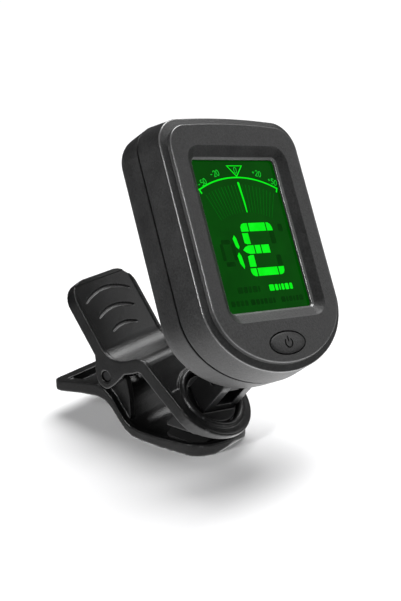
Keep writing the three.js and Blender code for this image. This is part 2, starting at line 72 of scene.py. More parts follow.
THROUGH = -20.0                          # a height well behind the head
WALL_R, WALL_TOP, FLOOR_HALF = 3.0, 12.0, 12.0   # in metres

# ------------------------------------------------------------------ frames
turn_frame = Matrix.Translation(NOSE) @ Matrix.Rotation(math.radians(SLOPE), 4, "X")
swivel_frame = turn_frame @ Matrix.Rotation(math.radians(SWIVEL), 4, "Z")
head_frame = (swivel_frame @ Matrix.Translation((0, 0, AXLE_H))
              @ Matrix.Rotation(math.radians(TILT), 4, "X") @ Matrix.Translation(HEAD_AT))


# ------------------------------------------------------------------ materials
def fill_ramp(node, stops):
    """Sets a colour ramp's stops, each a place and a colour."""
    elements = node.color_ramp.elements
    while len(elements) < len(stops):
        elements.new(0.5)
    for e, (place, colour) in zip(elements, stops):
        e.position = place
        e.color = (*colour, 1)


class Nodes:
    """A Principled material and short ways to wire it."""

    def __init__(self, name):
        self.mat = bpy.data.materials.new(name)
        self.mat.use_nodes = True
        self.tree = self.mat.node_tree
        self.bsdf = self.tree.nodes["Principled BSDF"]
        self.coord = self.new("ShaderNodeTexCoord").outputs["Object"]

    def new(self, kind, **props):
        n = self.tree.nodes.new(kind)
        for k, v in props.items():
            setattr(n, k, v)
        return n

    def link(self, a, b):
        self.tree.links.new(a, b)

    def noise(self, scale, detail=2.0, rough=0.5):
        n = self.new("ShaderNodeTexNoise")
        n.inputs["Scale"].default_value = scale
        n.inputs["Detail"].default_value = detail
        n.inputs["Roughness"].default_value = rough
        self.link(self.coord, n.inputs["Vector"])
        return n.outputs["Fac"]

    def ramp(self, fac, stops):
        r = self.new("ShaderNodeValToRGB")
        fill_ramp(r, stops)
        self.link(fac, r.inputs["Fac"])
        return r.outputs["Color"]

    def span(self, fac, low, high):
        m = self.new("ShaderNodeMapRange")
        m.inputs["To Min"].default_value = low
        m.inputs["To Max"].default_value = high
        self.link(fac, m.inputs["Value"])
        return m.outputs["Result"]

    def bump(self, height, distance, strength=1.0, after=None):
        b = self.new("ShaderNodeBump")
        b.inputs["Distance"].default_value = distance
        b.inputs["Strength"].default_value = strength
        self.link(height, b.inputs["Height"])
        if after:
            self.link(after, b.inputs["Normal"])
        return b.outputs["Normal"]

    def set(self, **values):
        for k, v in values.items():
            self.bsdf.inputs[k.replace("_", " ")].default_value = v


def plastic(name, dark, light, rough, grain, depth, shine=0.5, edge_highlight_colour=None):
    """Moulded plastic: fine grain, slight cloud in colour, uneven sheen, and if asked a painted
    highlight: edges lighter in colour and less rough.
    """
    n = Nodes(name)
    cloud = n.noise(260, 4, 0.6)
    fine = n.noise(grain, 3, 0.65)
    mix = n.new("ShaderNodeMath", operation="MULTIPLY_ADD")
    n.link(fine, mix.inputs[0])
    mix.inputs[1].default_value = 0.65
    half = n.new("ShaderNodeMath", operation="MULTIPLY")
    n.link(cloud, half.inputs[0])
    half.inputs[1].default_value = 0.35
    n.link(half.outputs[0], mix.inputs[2])
    colour = n.ramp(mix.outputs[0], ((0.32, dark), (0.68, light)))
    sheen = n.span(cloud, rough - 0.06, rough + 0.07)
    # edges found by pointiness are painted lighter as a painted highlight, and made less rough
    if edge_highlight_colour:
        edge = n.new("ShaderNodeMapRange")
        edge.inputs["From Min"].default_value = 0.52
        edge.inputs["From Max"].default_value = 0.6
        n.link(n.new("ShaderNodeNewGeometry").outputs["Pointiness"], edge.inputs["Value"])
        painted_edge_highlight = n.new("ShaderNodeMix", data_type="RGBA")
        n.link(edge.outputs["Result"], painted_edge_highlight.inputs["Factor"])
        n.link(colour, painted_edge_highlight.inputs[6])
        n.link(n.ramp(cloud, ((0.3, tuple(0.75 * c for c in edge_highlight_colour)), (0.7, edge_highlight_colour))), painted_edge_highlight.inputs[7])
        colour = painted_edge_highlight.outputs[2]
        gloss = n.new("ShaderNodeMix", data_type="FLOAT")
        n.link(edge.outputs["Result"], gloss.inputs["Factor"])
        n.link(sheen, gloss.inputs[2])
        n.link(n.span(fine, 0.2, 0.26), gloss.inputs[3])
        sheen = gloss.outputs[0]
    n.link(colour, n.bsdf.inputs["Base Color"])
    n.link(sheen, n.bsdf.inputs["Roughness"])
    grains = n.bump(fine, depth, 0.75)
    n.link(n.bump(n.noise(900, 2), 0.00001, 0.3, grains), n.bsdf.inputs["Normal"])
    n.set(Specular_IOR_Level=shine)
    return n.mat


def metal(name, low, high, rough, scale=4000):
    """Bare metal, a little uneven in colour and sheen."""
    n = Nodes(name)
    n.set(Metallic=1.0)
    streak = n.noise(scale, 3, 0.6)
    n.link(n.ramp(streak, ((0.3, low), (0.7, high))), n.bsdf.inputs["Base Color"])
    n.link(n.span(streak, rough - 0.08, rough + 0.1), n.bsdf.inputs["Roughness"])
    n.link(n.bump(streak, 0.000004, 0.5), n.bsdf.inputs["Normal"])
    return n.mat


def glow(name, dark, light):
    """A lit display mark, with the faint unevenness of a light guide."""
    n = Nodes(name)
    f = n.noise(500, 2)
    n.link(n.ramp(f, ((0.3, dark), (0.7, light))), n.bsdf.inputs["Emission Color"])
    base = n.ramp(f, ((0.3, (0.0, 0.003, 0.0)), (0.7, (0.0, 0.006, 0.0))))
    n.link(base, n.bsdf.inputs["Base Color"])
    n.set(Emission_Strength=1.0, Roughness=0.4, Specular_IOR_Level=0.01)
    return n.mat


# plastic: dark and light colour, roughness, grain, grain's depth in metres, shine, the colour of the
# painted edge highlight
case_mat = plastic("case_charcoal", (0.004, 0.004, 0.0042), (0.028, 0.028, 0.0284),
                   0.5, 2600, 0.00009, 0.42)
# a lighter copy of the case plastic, painted on rounded edges as a painted highlight
edge_highlight_mat = plastic("case_charcoal_painted_highlight", (0.08, 0.08, 0.081), (0.13, 0.13, 0.131),
                   0.22, 3300, 0.000006, 1.0)
# clip and fork get a painted highlight along their edges
clip_mat = plastic("clip_black", (0.001, 0.001, 0.0011), (0.012, 0.012, 0.0122),
                   0.32, 2800, 0.00006, 0.38, (0.07, 0.07, 0.071))
fork_mat = plastic("fork_black", (0.001, 0.001, 0.0011), (0.010, 0.010, 0.0102),
                   0.36, 3200, 0.00003, 0.32, (0.06, 0.06, 0.061))
ink_mat = plastic("mark_black", (0.002, 0.002, 0.002), (0.004, 0.004, 0.004),
                  0.6, 5000, 0.00001, 0.2)
rubber_mat = plastic("pad_rubber", (0.012, 0.012, 0.012), (0.022, 0.022, 0.022),
                     0.78, 2600, 0.00006)
steel_mat = metal("steel_bright", (0.50, 0.50, 0.51), (0.72, 0.72, 0.73), 0.28)
spring_mat = metal("spring_wire", (0.30, 0.30, 0.31), (0.52, 0.52, 0.53), 0.34, 2500)
dark_steel_mat = metal("steel_blackened", (0.035, 0.035, 0.036), (0.075, 0.075, 0.077), 0.38)
brass_mat = metal("contact_brass", (0.55, 0.42, 0.18), (0.76, 0.62, 0.32), 0.33)
board_mat = plastic("board_lacquer", (0.01, 0.10, 0.035), (0.02, 0.17, 0.06), 0.35, 1500, 0.00002)
chip_mat = plastic("chip_black", (0.008, 0.008, 0.008), (0.016, 0.016, 0.016), 0.55, 5000, 0.00001)
frame_mat = plastic("frame_grey", (0.50, 0.50, 0.48), (0.62, 0.62, 0.60), 0.5, 4000, 0.00001)
strip_mat = plastic("strip_rubber", (0.25, 0.10, 0.14), (0.36, 0.16, 0.2), 0.7, 3000, 0.00002)
guide_mat = plastic("guide_milky", (0.55, 0.72, 0.55), (0.66, 0.82, 0.66), 0.3, 800, 0.000005)
mark_mat = glow("mark_lit", (0.001, 0.86, 0.008), (0.004, 0.97, 0.015))
thin_mat = glow("mark_lit_soft", (0.006, 0.50, 0.02), (0.01, 0.62, 0.03))
fan_mat = glow("mark_faint", (0.001, 0.085, 0.003), (0.001, 0.115, 0.004))
ghost_mat = glow("mark_unlit", (0.0005, 0.027, 0.001), (0.001, 0.037, 0.0015))


def display_material():
    """Backlit green glass with a slightly uneven light behind it."""
    n = Nodes("display_glass")
    f = n.noise(120, 3, 0.6)
    light = n.ramp(f, ((0.25, (0.0, 0.044, 0.0006)), (0.75, (0.0003, 0.066, 0.001))))
    n.link(light, n.bsdf.inputs["Emission Color"])
    base = n.ramp(f, ((0.3, (0.0, 0.001, 0.0)), (0.7, (0.0, 0.002, 0.0))))
    n.link(base, n.bsdf.inputs["Base Color"])
    n.set(Emission_Strength=1.0, Roughness=0.22, Specular_IOR_Level=0.01)
    n.link(n.bump(n.noise(3000, 1), 0.000002, 0.2), n.bsdf.inputs["Normal"])
    return n.mat


display_mat = display_material()


# ------------------------------------------------------------------ mesh helpers
def show(name, data):
    """A new object in the scene."""
    ob = bpy.data.objects.new(name, data)
    bpy.context.scene.collection.objects.link(ob)
    return ob


def new_object(name, verts, faces, place, mat):
    """A mesh object from mm points in a local frame, put down in the row frame in metres."""
    me = bpy.data.meshes.new(name)
    me.from_pydata([(place @ Vector(v)) * MM for v in verts], [], faces)
    me.update()
    ob = show(name, me)
    me.materials.append(mat)
    bm = bmesh.new()
    bm.from_mesh(me)
    bmesh.ops.recalc_face_normals(bm, faces=bm.faces)
    bm.to_mesh(me)
    bm.free()
    return ob


def loft(name, rings, place=head_frame, mat=case_mat):
    """A closed skin over rings of equal count, each given as x, y points and a height."""
    n = len(rings[0][0])
    verts = [(x, y, z) for pts, z in rings for x, y in pts]
    faces = []
    for k in range(len(rings) - 1):
        for i in range(n):
            j = (i + 1) % n
            faces.append((k * n + i, k * n + j, (k + 1) * n + j, (k + 1) * n + i))
    faces.append(tuple(reversed(range(n))))
    base = (len(rings) - 1) * n
    faces.append(tuple(range(base, base + n)))
    return new_object(name, verts, faces, place, mat)


def flat_shape(name, points, z0, z1, place=head_frame, mat=case_mat):
    """A thin plate with the given outline."""
    return loft(name, [(points, z0), (points, z1)], place, mat)


def ellipse(cx, cy, a, b, n=64):
    turns = [2 * math.pi * i / n for i in range(n)]
    return [(cx + a * math.cos(t), cy + b * math.sin(t)) for t in turns]


def round_rect(x0, x1, y0, y1, r, n=8):
    pts = []
    middles = ((x1 - r, y1 - r), (x0 + r, y1 - r), (x0 + r, y0 + r), (x1 - r, y0 + r))
    for q, (cx, cy) in enumerate(middles):
        for i in range(n + 1):
            t = (q + i / n) * math.pi / 2
            pts.append((cx + r * math.cos(t), cy + r * math.sin(t)))
    return pts


def outline(grow):
    """The head's D shape: arched top, straight sides, rounded foot."""
    a, b, top = FACE["a"] + grow, FACE["b"] + grow, FACE["top"] + grow
    r = max(0.8, FACE["r"] + grow * 0.7)
    cy = top - FACE["sag"] - r
    pts = []
    for i in range(17):
        t = i / 16 * math.pi / 2
        pts.append((a - r + r * math.cos(t), cy + r * math.sin(t)))
    for i in range(1, 16):
        k = 1 - i / 8
        pts.append(((a - r) * k, top - FACE["sag"] * k * k))
    for i in range(17):
        t = (1 + i / 16) * math.pi / 2
        pts.append((-a + r + r * math.cos(t), cy + r * math.sin(t)))
    for i in range(1, 12):
        pts.append((-a, cy + (FACE["low"] - cy) * i / 12))
    for i in range(73):
        t = math.pi * (1 + i / 72)
        pts.append((a * math.cos(t), FACE["low"] + b * math.sin(t)))
    for i in range(1, 12):
        pts.append((a, FACE["low"] + (cy - FACE["low"]) * i / 12))
    return pts


def grown(name, steps):
    """A skin over the head's outline, given as growth and height of each ring."""
    return loft(name, [(outline(g), z) for g, z in steps])


def paint_highlight_bands(ob, rings, spans):
    """Gives the faces between these rings the object's second material, the lighter copy that paints a
    highlight on them.
    """
    n = (len(ob.data.polygons) - 2) // (rings - 1)
    for a, b in spans:
        for i in range(a * n, b * n):
            ob.data.polygons[i].material_index = 1


def fillet(p0, corner, p1, radius, n=5):
    """Points of a rounded corner in a (grow, z) profile."""
    c, u, v = Vector(corner), Vector(p0) - Vector(corner), Vector(p1) - Vector(corner)
    u.normalize()
    v.normalize()
    half = math.acos(max(-1, min(1, u.dot(v)))) / 2
    d = radius / math.tan(half)
    centre = c + (u + v).normalized() * (radius / math.sin(half))
    a, b = c + u * d - centre, c + v * d - centre
    ang = a.angle(b)
    out = []
    for i in range(n + 1):
        t = i / n
        arm = (a * math.sin((1 - t) * ang) + b * math.sin(t * ang)) / math.sin(ang)
        out.append(tuple(centre + arm))
    return out


def bake(ob):
    """The object's modifiers worked into a new mesh."""
    dg = bpy.context.evaluated_depsgraph_get()
    me = bpy.data.meshes.new_from_object(ob.evaluated_get(dg))
    old = ob.data
    ob.modifiers.clear()
    ob.data = me
    bpy.data.meshes.remove(old)


def boolean(ob, others, how="DIFFERENCE"):
    for o in others:
        m = ob.modifiers.new("b", "BOOLEAN")
        m.operation, m.object, m.solver, m.material_mode = how, o, "EXACT", "TRANSFER"
        bake(ob)
        bpy.data.objects.remove(o)


def smooth(ob, angle, weighted=True):
    """Smooth shading that stays sharp past an angle in degrees."""
    me = ob.data
    me.shade_smooth()
    me.set_sharp_from_angle(angle=math.radians(angle))
    if weighted:
        w = ob.modifiers.new("normals", "WEIGHTED_NORMAL")
        w.keep_sharp = True
        w.weight = 80


def rounded(ob, voxel, passes):
    """Softens every edge of a moulded solid."""
    r = ob.modifiers.new("remesh", "REMESH")
    r.mode, r.voxel_size, r.use_smooth_shade = "VOXEL", voxel * MM, True
    s = ob.modifiers.new("soften", "SMOOTH")
    s.factor, s.iterations = 0.5, passes


def paint(node, mat):
    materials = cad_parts[node].data.materials
    materials.clear()
    materials.append(mat)


def finish_piece(ob, body, slot, *nodes):
    """Hands a piece to its body, in place of the nodes it stands for; the slot argument is not used."""
    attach(ob, body)
    if nodes:
        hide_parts(*nodes)


# ------------------------------------------------------------------ head: front shell
def front_shell():
    """Front shell: side wall, rim, face plate, display recess and button hole."""
    edge = -PLATE_IN
    profile = [(DRAFT - 0.25, PART_Z + 0.02), (DRAFT - 0.08, PART_Z + 0.12), (DRAFT, PART_Z + 0.35),
               (0.1, -2.2)]
    rim = len(profile)
    profile += fillet((0.1, -2.2), (0.0, RIM_Z - 0.02), (edge, -0.62), 0.3, 6)
    groove = len(profile)
    profile += fillet((0.0, RIM_Z), (edge + 0.16, -0.72), (edge + 0.02, -0.3), 0.06, 3)
    plate = len(profile)
    profile += fillet((edge + 0.06, -0.7), (edge - 0.06, 0.0), (edge - 1.0, 0.0), 0.2, 6)
    body = grown("front_shell", profile)
    # the rim's round and the plate's edge round take the lighter material: a painted highlight
    body.data.materials.append(edge_highlight_mat)
    paint_highlight_bands(body, len(profile), ((rim, groove - 1), (plate, len(profile) - 1)))
    inner = grown("cut", [(-SHELL + DRAFT, PART_Z - 1), (-SHELL, GLASS_Z - 0.55)])

    def rect(size, z, g=0.0):
        x, y, r = size[0] + g, size[1] + g, size[2] + g
        return round_rect(-x, x, -y, y, r, 10), z

    walls = [rect(GLASS, -5), rect(GLASS, GLASS_Z - 0.2), rect(GLASS, GLASS_Z - 0.1, 0.02),
             rect(GLASS, GLASS_Z - 0.03, 0.07)]
    for k in range(1, 5):
        t = k / 5
        size = tuple(GLASS[i] + (OPEN[i] - GLASS[i]) * t for i in range(3))
        walls.append(rect(size, GLASS_Z + (-0.16 - GLASS_Z) * t))
    walls += [rect(OPEN, -0.2), rect(OPEN, -0.1, 0.05), rect(OPEN, -0.03, 0.15),
              rect(OPEN, 0.004, 0.3), rect(OPEN, 0.5, 0.6)]
    recess = loft("cut", walls)
    # the rounded foot of the recess at the glass takes the lighter material: a painted highlight
    recess.data.materials.append(edge_highlight_mat)
    paint_highlight_bands(recess, len(walls), ((1, 4),))
    y, a, b = BUTTON
    steps = ((0.22, -5), (0.22, -0.14), (0.26, -0.05), (0.36, 0.004), (0.6, 0.4))
    hole = loft("cut", [(ellipse(0, y, a + g, b + g), z) for g, z in steps])
    boolean(body, [inner, recess, hole])
    smooth(body, 35)
    finish_piece(body, "head", "case_plastic", "front_bezel")


def rear_shell():
    """Rear shell: domed wall, battery well, screw posts, cover seat and hinge lug."""
    steps = [(DRAFT - 0.3, PART_Z - GAP), (DRAFT - 0.1, PART_Z - GAP - 0.12),
             (DRAFT - 0.06, PART_Z - 0.7), (0.6, REAR_Z + 3.4)]
    for i in range(1, 9):
        t = i / 8 * math.pi / 2
        steps.append((0.55 - 3.0 * (1 - math.cos(t)), REAR_Z + 2.9 * (1 - math.sin(t))))
    steps.append((-3.4, REAR_Z))
    body = grown("rear_shell", steps)
    inner = grown("cut", [(-2.3, REAR_Z + 1.5), (-SHELL + 0.4, REAR_Z + 3.1),
                          (-SHELL + DRAFT - 0.2, PART_Z + 1)])
    boolean(body, [inner])
    r = CELL_R + WELL_WALL
    added = [flat_shape("add", ellipse(0, CELL_Y, r, r, 96), REAR_Z + 1.0, WELL_TOP)]
    for x, y in SCREWS:
        post = ellipse(x, y, POST_R, POST_R, 32)
        added.append(flat_shape("add", post, REAR_Z + 1.2, PART_Z - GAP - 0.1))
    boolean(body, added, "UNION")
    r = CELL_R + 0.35
    notch = round_rect(-3, 3, CELL_Y + CELL_R - 1, CELL_Y + CELL_R + 2.6, 0.3)
    x, y0, y1 = COVER[0] + COVER_GAP, COVER[1] - COVER_GAP, COVER[2] + COVER_GAP
    cuts = [flat_shape("cut", ellipse(0, CELL_Y, r, r, 96), -17, WELL_FLOOR),
            flat_shape("cut", notch, -17, WELL_FLOOR),
            flat_shape("cut", round_rect(-x, x, y0, y1, 1.6), -17, REAR_Z + 1.3)]
    for x, y in SCREWS:
        seat = ellipse(x, y, SCREW_HEAD_R, SCREW_HEAD_R, 40)
        cuts.append(flat_shape("cut", seat, THROUGH, REAR_Z + 2.6))
        cuts.append(flat_shape("cut", ellipse(x, y, SCREW_R, SCREW_R, 24), THROUGH, -2))
    boolean(body, cuts)
    # hinge lug: a half-round foot that widens into the rear wall
    hy, hz = -HEAD_AT[1], -HEAD_AT[2]
    turns = [math.pi * (1 + i / 24) for i in range(25)]
    side = [(hy + LUG_R * math.cos(t), hz + LUG_R * math.sin(t)) for t in turns]
    side += [(hy + 5.4, REAR_Z + 0.8), (hy + 2.0, REAR_Z + 1.8), (hy - 0.6, REAR_Z + 1.6)]
    across = head_frame @ Matrix(((0, 0, 1, 0), (1, 0, 0, 0), (0, 1, 0, 0), (0, 0, 0, 1)))
    w = LUG_HALF
    shrink = [(hy + (y - hy) * 0.95, hz + (z - hz) * 0.95) for y, z in side]
    lug = loft("add", [(shrink, -w), (side, -w + 0.15), (side, w - 0.15), (shrink, w)], across)
    boolean(body, [lug], "UNION")
    boolean(body, [flat_shape("cut", ellipse(hy, hz, BORE_R, BORE_R, 40), -9, 9, across)])
    smooth(body, 32)
    finish_piece(body, "head", "case_plastic", "rear_case")


def cover_panel():
    """Battery cover with three finger grooves."""
    x, y0, y1 = COVER
    steps = ((0, 1.1), (0, 0.3), (0.04, 0.17), (0.13, 0.07), (0.28, 0.02))
    rings = [(round_rect(-x + g, x - g, y0 + g, y1 - g, 1.5 - g * 0.5, 8), REAR_Z + z) for g, z in steps]
    body = loft("cover_panel", rings)
    grooves = [round_rect(-4.5, 4.5, y - 0.28, y + 0.28, 0.27, 6) for y in COVER_GROOVES]
    boolean(body, [flat_shape("cut", g, REAR_Z - 1, REAR_Z + 0.35) for g in grooves])
    smooth(body, 35)
    finish_piece(body, "cover", "case_plastic", "battery_cover")


def button_cap():
    """Domed oval button with a sunk power mark, a broken ring and a bar."""
    y, a, b = BUTTON
    steps = ((0.65, -2.7), (0.65, -2.25), (0, -2.2), (0, -0.1), (-0.04, 0.02), (-0.16, 0.1),
             (-0.5, 0.17), (-1.2, 0.25), (-1.9, 0.29))
    body = loft("button_cap", [(ellipse(0, y, a + g, b + g, 72), z) for g, z in steps])
    turns = [math.radians(42 + 276 * i / 28) for i in range(29)]
    outer, inner = ([(r * math.sin(t), y - 0.05 + r * math.cos(t)) for t in turns] for r in (1.08, 0.76))
    body.data.materials.append(ink_mat)
    for shape in (outer + inner[::-1], round_rect(-0.16, 0.16, y + 0.1, y + 1.3, 0.15, 4)):
        tool = flat_shape("cut", shape, 0.12, 1)
        tool.data.materials.append(ink_mat)
        for f in tool.data.polygons:
            f.material_index = 1
        boolean(body, [tool])
    smooth(body, 35)
    finish_piece(body, "button", "case_plastic", "power_button")


# ------------------------------------------------------------------ display marks
MARK_Z, MARK_THICK = LENS_Z + 0.012, 0.02
FAN = (0.1, -12.0)       # where the needle's places meet
marks_made = []


def mark(points, mat, lift=0.0, name="m"):
    """A thin plate on the display."""
    ob = flat_shape(name, points, MARK_Z + lift, MARK_Z + lift + MARK_THICK, mat=mat)
    marks_made.append(ob)
    return ob


def group(name, obs):
    """Several loose marks as one object."""
    bm = bmesh.new()
    for o in obs:
        bm.from_mesh(o.data)
        marks_made.remove(o)
    me = bpy.data.meshes.new(name)
    bm.to_mesh(me)
    bm.free()
    me.materials.append(obs[0].data.materials[0])
    for o in obs:
        bpy.data.objects.remove(o)
    marks_made.append(show(name, me))


def strip(points, width):
    """Outline of a line of even width."""
    left, right = [], []
    for i, p in enumerate(points):
        a, b = Vector(points[max(0, i - 1)]), Vector(points[min(len(points) - 1, i + 1)])
        d = (b - a).normalized()
        s = Vector((-d.y, d.x)) * width / 2
        left.append(tuple(Vector(p) + s))
        right.append(tuple(Vector(p) - s))
    return left + right[::-1]


def polar(r, deg):
    """A point round the fan's middle, in degrees from upright."""
    t = math.radians(deg)
    return (FAN[0] + r * math.sin(t), FAN[1] + r * math.cos(t))


def scale_marks():
    """Scale arc with an end tick each side, needle, faint needle places and the centre's triangle."""
    arc = mark(strip([polar(23.8, -26 + 52 * i / 40) for i in range(41)], 0.3), mark_mat)
    ticks = [mark(strip([polar(22.9, d), polar(24.0, d)], 0.32), mark_mat) for d in (-26, 26)]
    group("scale_arc", [arc] + ticks)
    fan = []
    for k in range(-10, 11):
        if k:
            d = k * 2.42
            fan.append(mark([polar(16.6, d - 0.2), polar(16.6, d + 0.2), polar(22.3, d + 0.32),
                             polar(22.3, d - 0.32)], fan_mat))
    group("needle_places", fan)
    mark([polar(16.6, 1.1), polar(16.6, 2.1), polar(18.6, 1.95), polar(22.7, 1.0), polar(22.9, 0.3),
          polar(22.7, -0.35), polar(18.6, 0.75)], mark_mat, 0.004, "needle")
    x, top, tip, h = 0.3, 14.3, 11.85, 2.2
    outer = [(x - h, top), (x + h, top), (x, tip)]
    inner = [(x - h + 0.42, top - 0.17), (x + h - 0.42, top - 0.17), (x, tip + 0.34)]
    sides = []
    for i in range(3):
        j = (i + 1) % 3
        sides.append(mark([outer[i], outer[j], inner[j], inner[i]], mark_mat))
    group("centre_triangle", sides)


# plain strokes of the scale figures, each in a box 1 wide and 2 high
STROKES = {
    "0": [[(0.35, 0), (0, 0.5), (0, 1.5), (0.35, 2), (0.65, 2), (1, 1.5), (1, 0.5), (0.65, 0),
           (0.35, 0)]],
    "2": [[(0, 1.6), (0.3, 2), (0.8, 2), (1, 1.6), (0.9, 1.15), (0, 0), (1.05, 0)]],
    "5": [[(0.95, 2), (0.1, 2), (0.05, 1.15), (0.6, 1.25), (1, 0.9), (1, 0.4), (0.6, 0),
           (0, 0.15)]],
    "+": [[(0, 1), (0.9, 1)], [(0.45, 0.55), (0.45, 1.45)]],
    "-": [[(0, 1), (0.8, 1)]],
}


def figure(name, text, centre, turn, height, weight):
    """A scale figure drawn as strokes."""
    s = height / 2
    pitch = 1.45 * s
    width = len(text) * pitch - 0.45 * s
    rot = Matrix.Rotation(math.radians(turn), 2)
    made = []
    for i, ch in enumerate(text):
        for line in STROKES[ch]:
            pts = []
            for px, py in line:
                v = rot @ Vector((i * pitch + px * s - width / 2, (py - 1) * s))
                pts.append((centre[0] + v.x, centre[1] + v.y))
            for a, b in zip(pts, pts[1:]):
                made.append(mark(strip([a, b], weight), thin_mat))
    group(name, made)


def note_figure():
    """The big note sign in rounded bars, a small stroke pair beside it, and unlit bars."""
    lit = [
        [(-2.3, 0.7), (-2.3, 1.6), (-1.9, 2.2), (-1.3, 2.4), (-0.35, 2.4), (-0.35, 0.7)],
        [(-0.05, 2.4), (4.45, 2.4), (4.45, 0.7), (-0.05, 0.7)],
        [(4.75, 2.4), (5.4, 2.35), (5.9, 2.0), (6.2, 1.4), (6.25, 0.7), (4.75, 0.7)],
        [(-2.3, 0.4), (-0.7, 0.4), (-0.65, -1.85), (-1.6, -1.85), (-2.25, -1.6)],
        [(-3.1, -2.95), (-2.4, -2.4), (-1.5, -2.1), (-0.1, -2.1), (-0.1, -3.8), (-1.5, -3.8),
         (-2.4, -3.5)],
        [(0.2, -2.1), (1.65, -2.1), (1.65, -3.8), (0.2, -3.8)],
        [(1.95, -2.1), (4.05, -2.1), (4.05, -3.8), (1.95, -3.8)],
        [(-2.3, -4.3), (-1.6, -4.05), (-0.7, -4.05), (-0.7, -6.4), (-2.4, -6.4)],
        [(-2.5, -6.7), (-0.95, -6.7), (-0.95, -8.3), (-1.6, -8.3), (-2.2, -8.0), (-2.5, -7.4)],
        [(-0.65, -6.7), (4.75, -6.7), (4.75, -8.3), (-0.65, -8.3)],
        [(5.05, -6.7), (6.6, -6.7), (6.55, -7.5), (6.2, -8.05), (5.6, -8.3), (5.05, -8.3)],
    ]
    group("note_sign", [mark(p, mark_mat) for p in lit])
    one = [
        [(-4.55, 0.1), (-4.15, -0.55), (-3.85, -2.3), (-4.2, -2.75), (-4.75, -2.2), (-5.1, -0.6)],
        [(-4.4, -3.35), (-3.95, -4.1), (-3.75, -6.2), (-4.0, -6.7), (-4.75, -5.6), (-4.95, -4.0)],
    ]
    group("string_sign", [mark(p, mark_mat) for p in one])
    # left end, middle height, width and height of each unlit bar
    unlit = ((-8.3, -1.2, 2.3, 0.9), (-8.3, -5.6, 2.3, 0.9), (-8.8, -3.2, 0.8, 3.4),
             (-5.9, -3.2, 0.8, 3.4), (5.1, -0.7, 1.3, 2.6), (5.3, -5.4, 1.3, 2.2), (7.9, 1.2, 1.2, 1.6))
    group("unlit_bars", [mark(round_rect(x, x + w, y - h / 2, y + h / 2, 0.3, 3), ghost_mat, -0.006)
                         for x, y, w, h in unlit])


def mode_bars():
    """Plain bars where the mode names go: one lit group, the rest unlit."""
    def row(x0, y, widths, h, mat):
        made, x = [], x0
        for w in widths:
            made.append(mark(round_rect(x, x + w, y - h / 2, y + h / 2, 0.22, 3), mat))
            x += w + 0.28
        return made

    group("mode_lit", row(1.2, -10.8, (1.3, 0.8, 0.4, 0.7, 1.0, 0.8), 1.25, mark_mat))
    dim = row(-7.2, -10.8, (1.3, 1.0, 0.8, 1.2, 0.4), 1.25, ghost_mat)
    dim += row(-9.7, -13.3, (1.0, 0.9, 0.8, 0.8), 1.1, ghost_mat)
    dim += row(-4.6, -13.3, (1.1, 0.9, 0.7, 0.9, 1.0, 0.5), 1.1, ghost_mat)
    dim += row(3.6, -13.3, (1.1, 0.5, 0.9, 0.5, 0.7, 1.0), 1.1, ghost_mat)
    group("mode_unlit", dim)


# ------------------------------------------------------------------ clip
def spring_coil():
    """Coil round the pin, wound between the two jaws, with a leg under each handle."""
    start, end = math.radians(132), math.radians(252 + 4 * 360)

    def leg(x, ang, length, side):
        d = ang + side * math.pi / 2
        return (x, PIN[0] + COIL_R * math.cos(ang) + length * math.cos(d),
                PIN[1] + COIL_R * math.sin(ang) + length * math.sin(d))

    pts = [leg(-COIL_HALF, start, length, -1) for length in (8.8, 6.0, 3.0, 1.2)]
    steps = 150
    for i in range(steps + 1):
        t = start + (end - start) * i / steps
        pts.append((COIL_HALF * (2 * i / steps - 1),
                    PIN[0] + COIL_R * math.cos(t), PIN[1] + COIL_R * math.sin(t)))
    pts += [leg(COIL_HALF, end, length, 1) for length in (1.0, 2.2, 3.9)]
    sides = 14
    verts, faces = [], []
    up = Vector((1, 0, 0))
    for i, p in enumerate(pts):
        a, b = Vector(pts[max(0, i - 1)]), Vector(pts[min(len(pts) - 1, i + 1)])
        t = (b - a).normalized()
        n1 = (up - t * up.dot(t)).normalized()
        n2 = t.cross(n1)
        k = 0.8 if i in (0, len(pts) - 1) else 1.0
        for j in range(sides):
            w = 2 * math.pi * j / sides
            verts.append(Vector(p) + (n1 * math.cos(w) + n2 * math.sin(w)) * WIRE_R * k)
    for i in range(len(pts) - 1):
        for j in range(sides):
            q = (j + 1) % sides
            faces.append((i * sides + j, i * sides + q, (i + 1) * sides + q, (i + 1) * sides + j))
    faces.append(tuple(reversed(range(sides))))
    faces.append(tuple(range((len(pts) - 1) * sides, len(pts) * sides)))
    ob = new_object("spring_coil", verts, faces, Matrix.Identity(4), spring_mat)
    smooth(ob, 50, False)
    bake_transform(ob)
    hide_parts("torsion_spring")


# ------------------------------------------------------------------ stage
def floor_and_wall():
    """White floor, and a far white wall that only the camera sees."""
    n = Nodes("floor_white")
    tone = n.ramp(n.noise(6, 2), ((0.3, (0.86, 0.86, 0.865)), (0.7, (0.885, 0.885, 0.89))))
    n.link(tone, n.bsdf.inputs["Base Color"])
    n.link(tone, n.bsdf.inputs["Emission Color"])
    n.set(Roughness=0.9, Specular_IOR_Level=0.0, Emission_Strength=0.06)
    me = bpy.data.meshes.new("floor")
    s = FLOOR_HALF
    me.from_pydata([(-s, -s, 0), (s, -s, 0), (s, s, 0), (-s, s, 0)], [], [(0, 1, 2, 3)])
    me.materials.append(n.mat)
    floor = show("floor", me)
    floor.visible_glossy = False

    n = Nodes("wall_white")
    tone = n.ramp(n.noise(0.2, 2), ((0.3, (0.99, 0.99, 0.99)), (0.7, (1.0, 1.0, 1.0))))
    n.link(tone, n.bsdf.inputs["Emission Color"])
    n.set(Emission_Strength=1.1)
    me = bpy.data.meshes.new("wall")
    sides = 48
    ring = ellipse(0, 0, WALL_R, WALL_R, sides)
    me.from_pydata([(x, y, z) for z in (-0.01, WALL_TOP) for x, y in ring], [],
                   [(k, (k + 1) % sides, sides + (k + 1) % sides, sides + k) for k in range(sides)])
    me.materials.append(n.mat)
    wall = show("wall", me)
    wall.visible_diffuse = wall.visible_glossy = False
    wall.visible_transmission = wall.visible_shadow = False


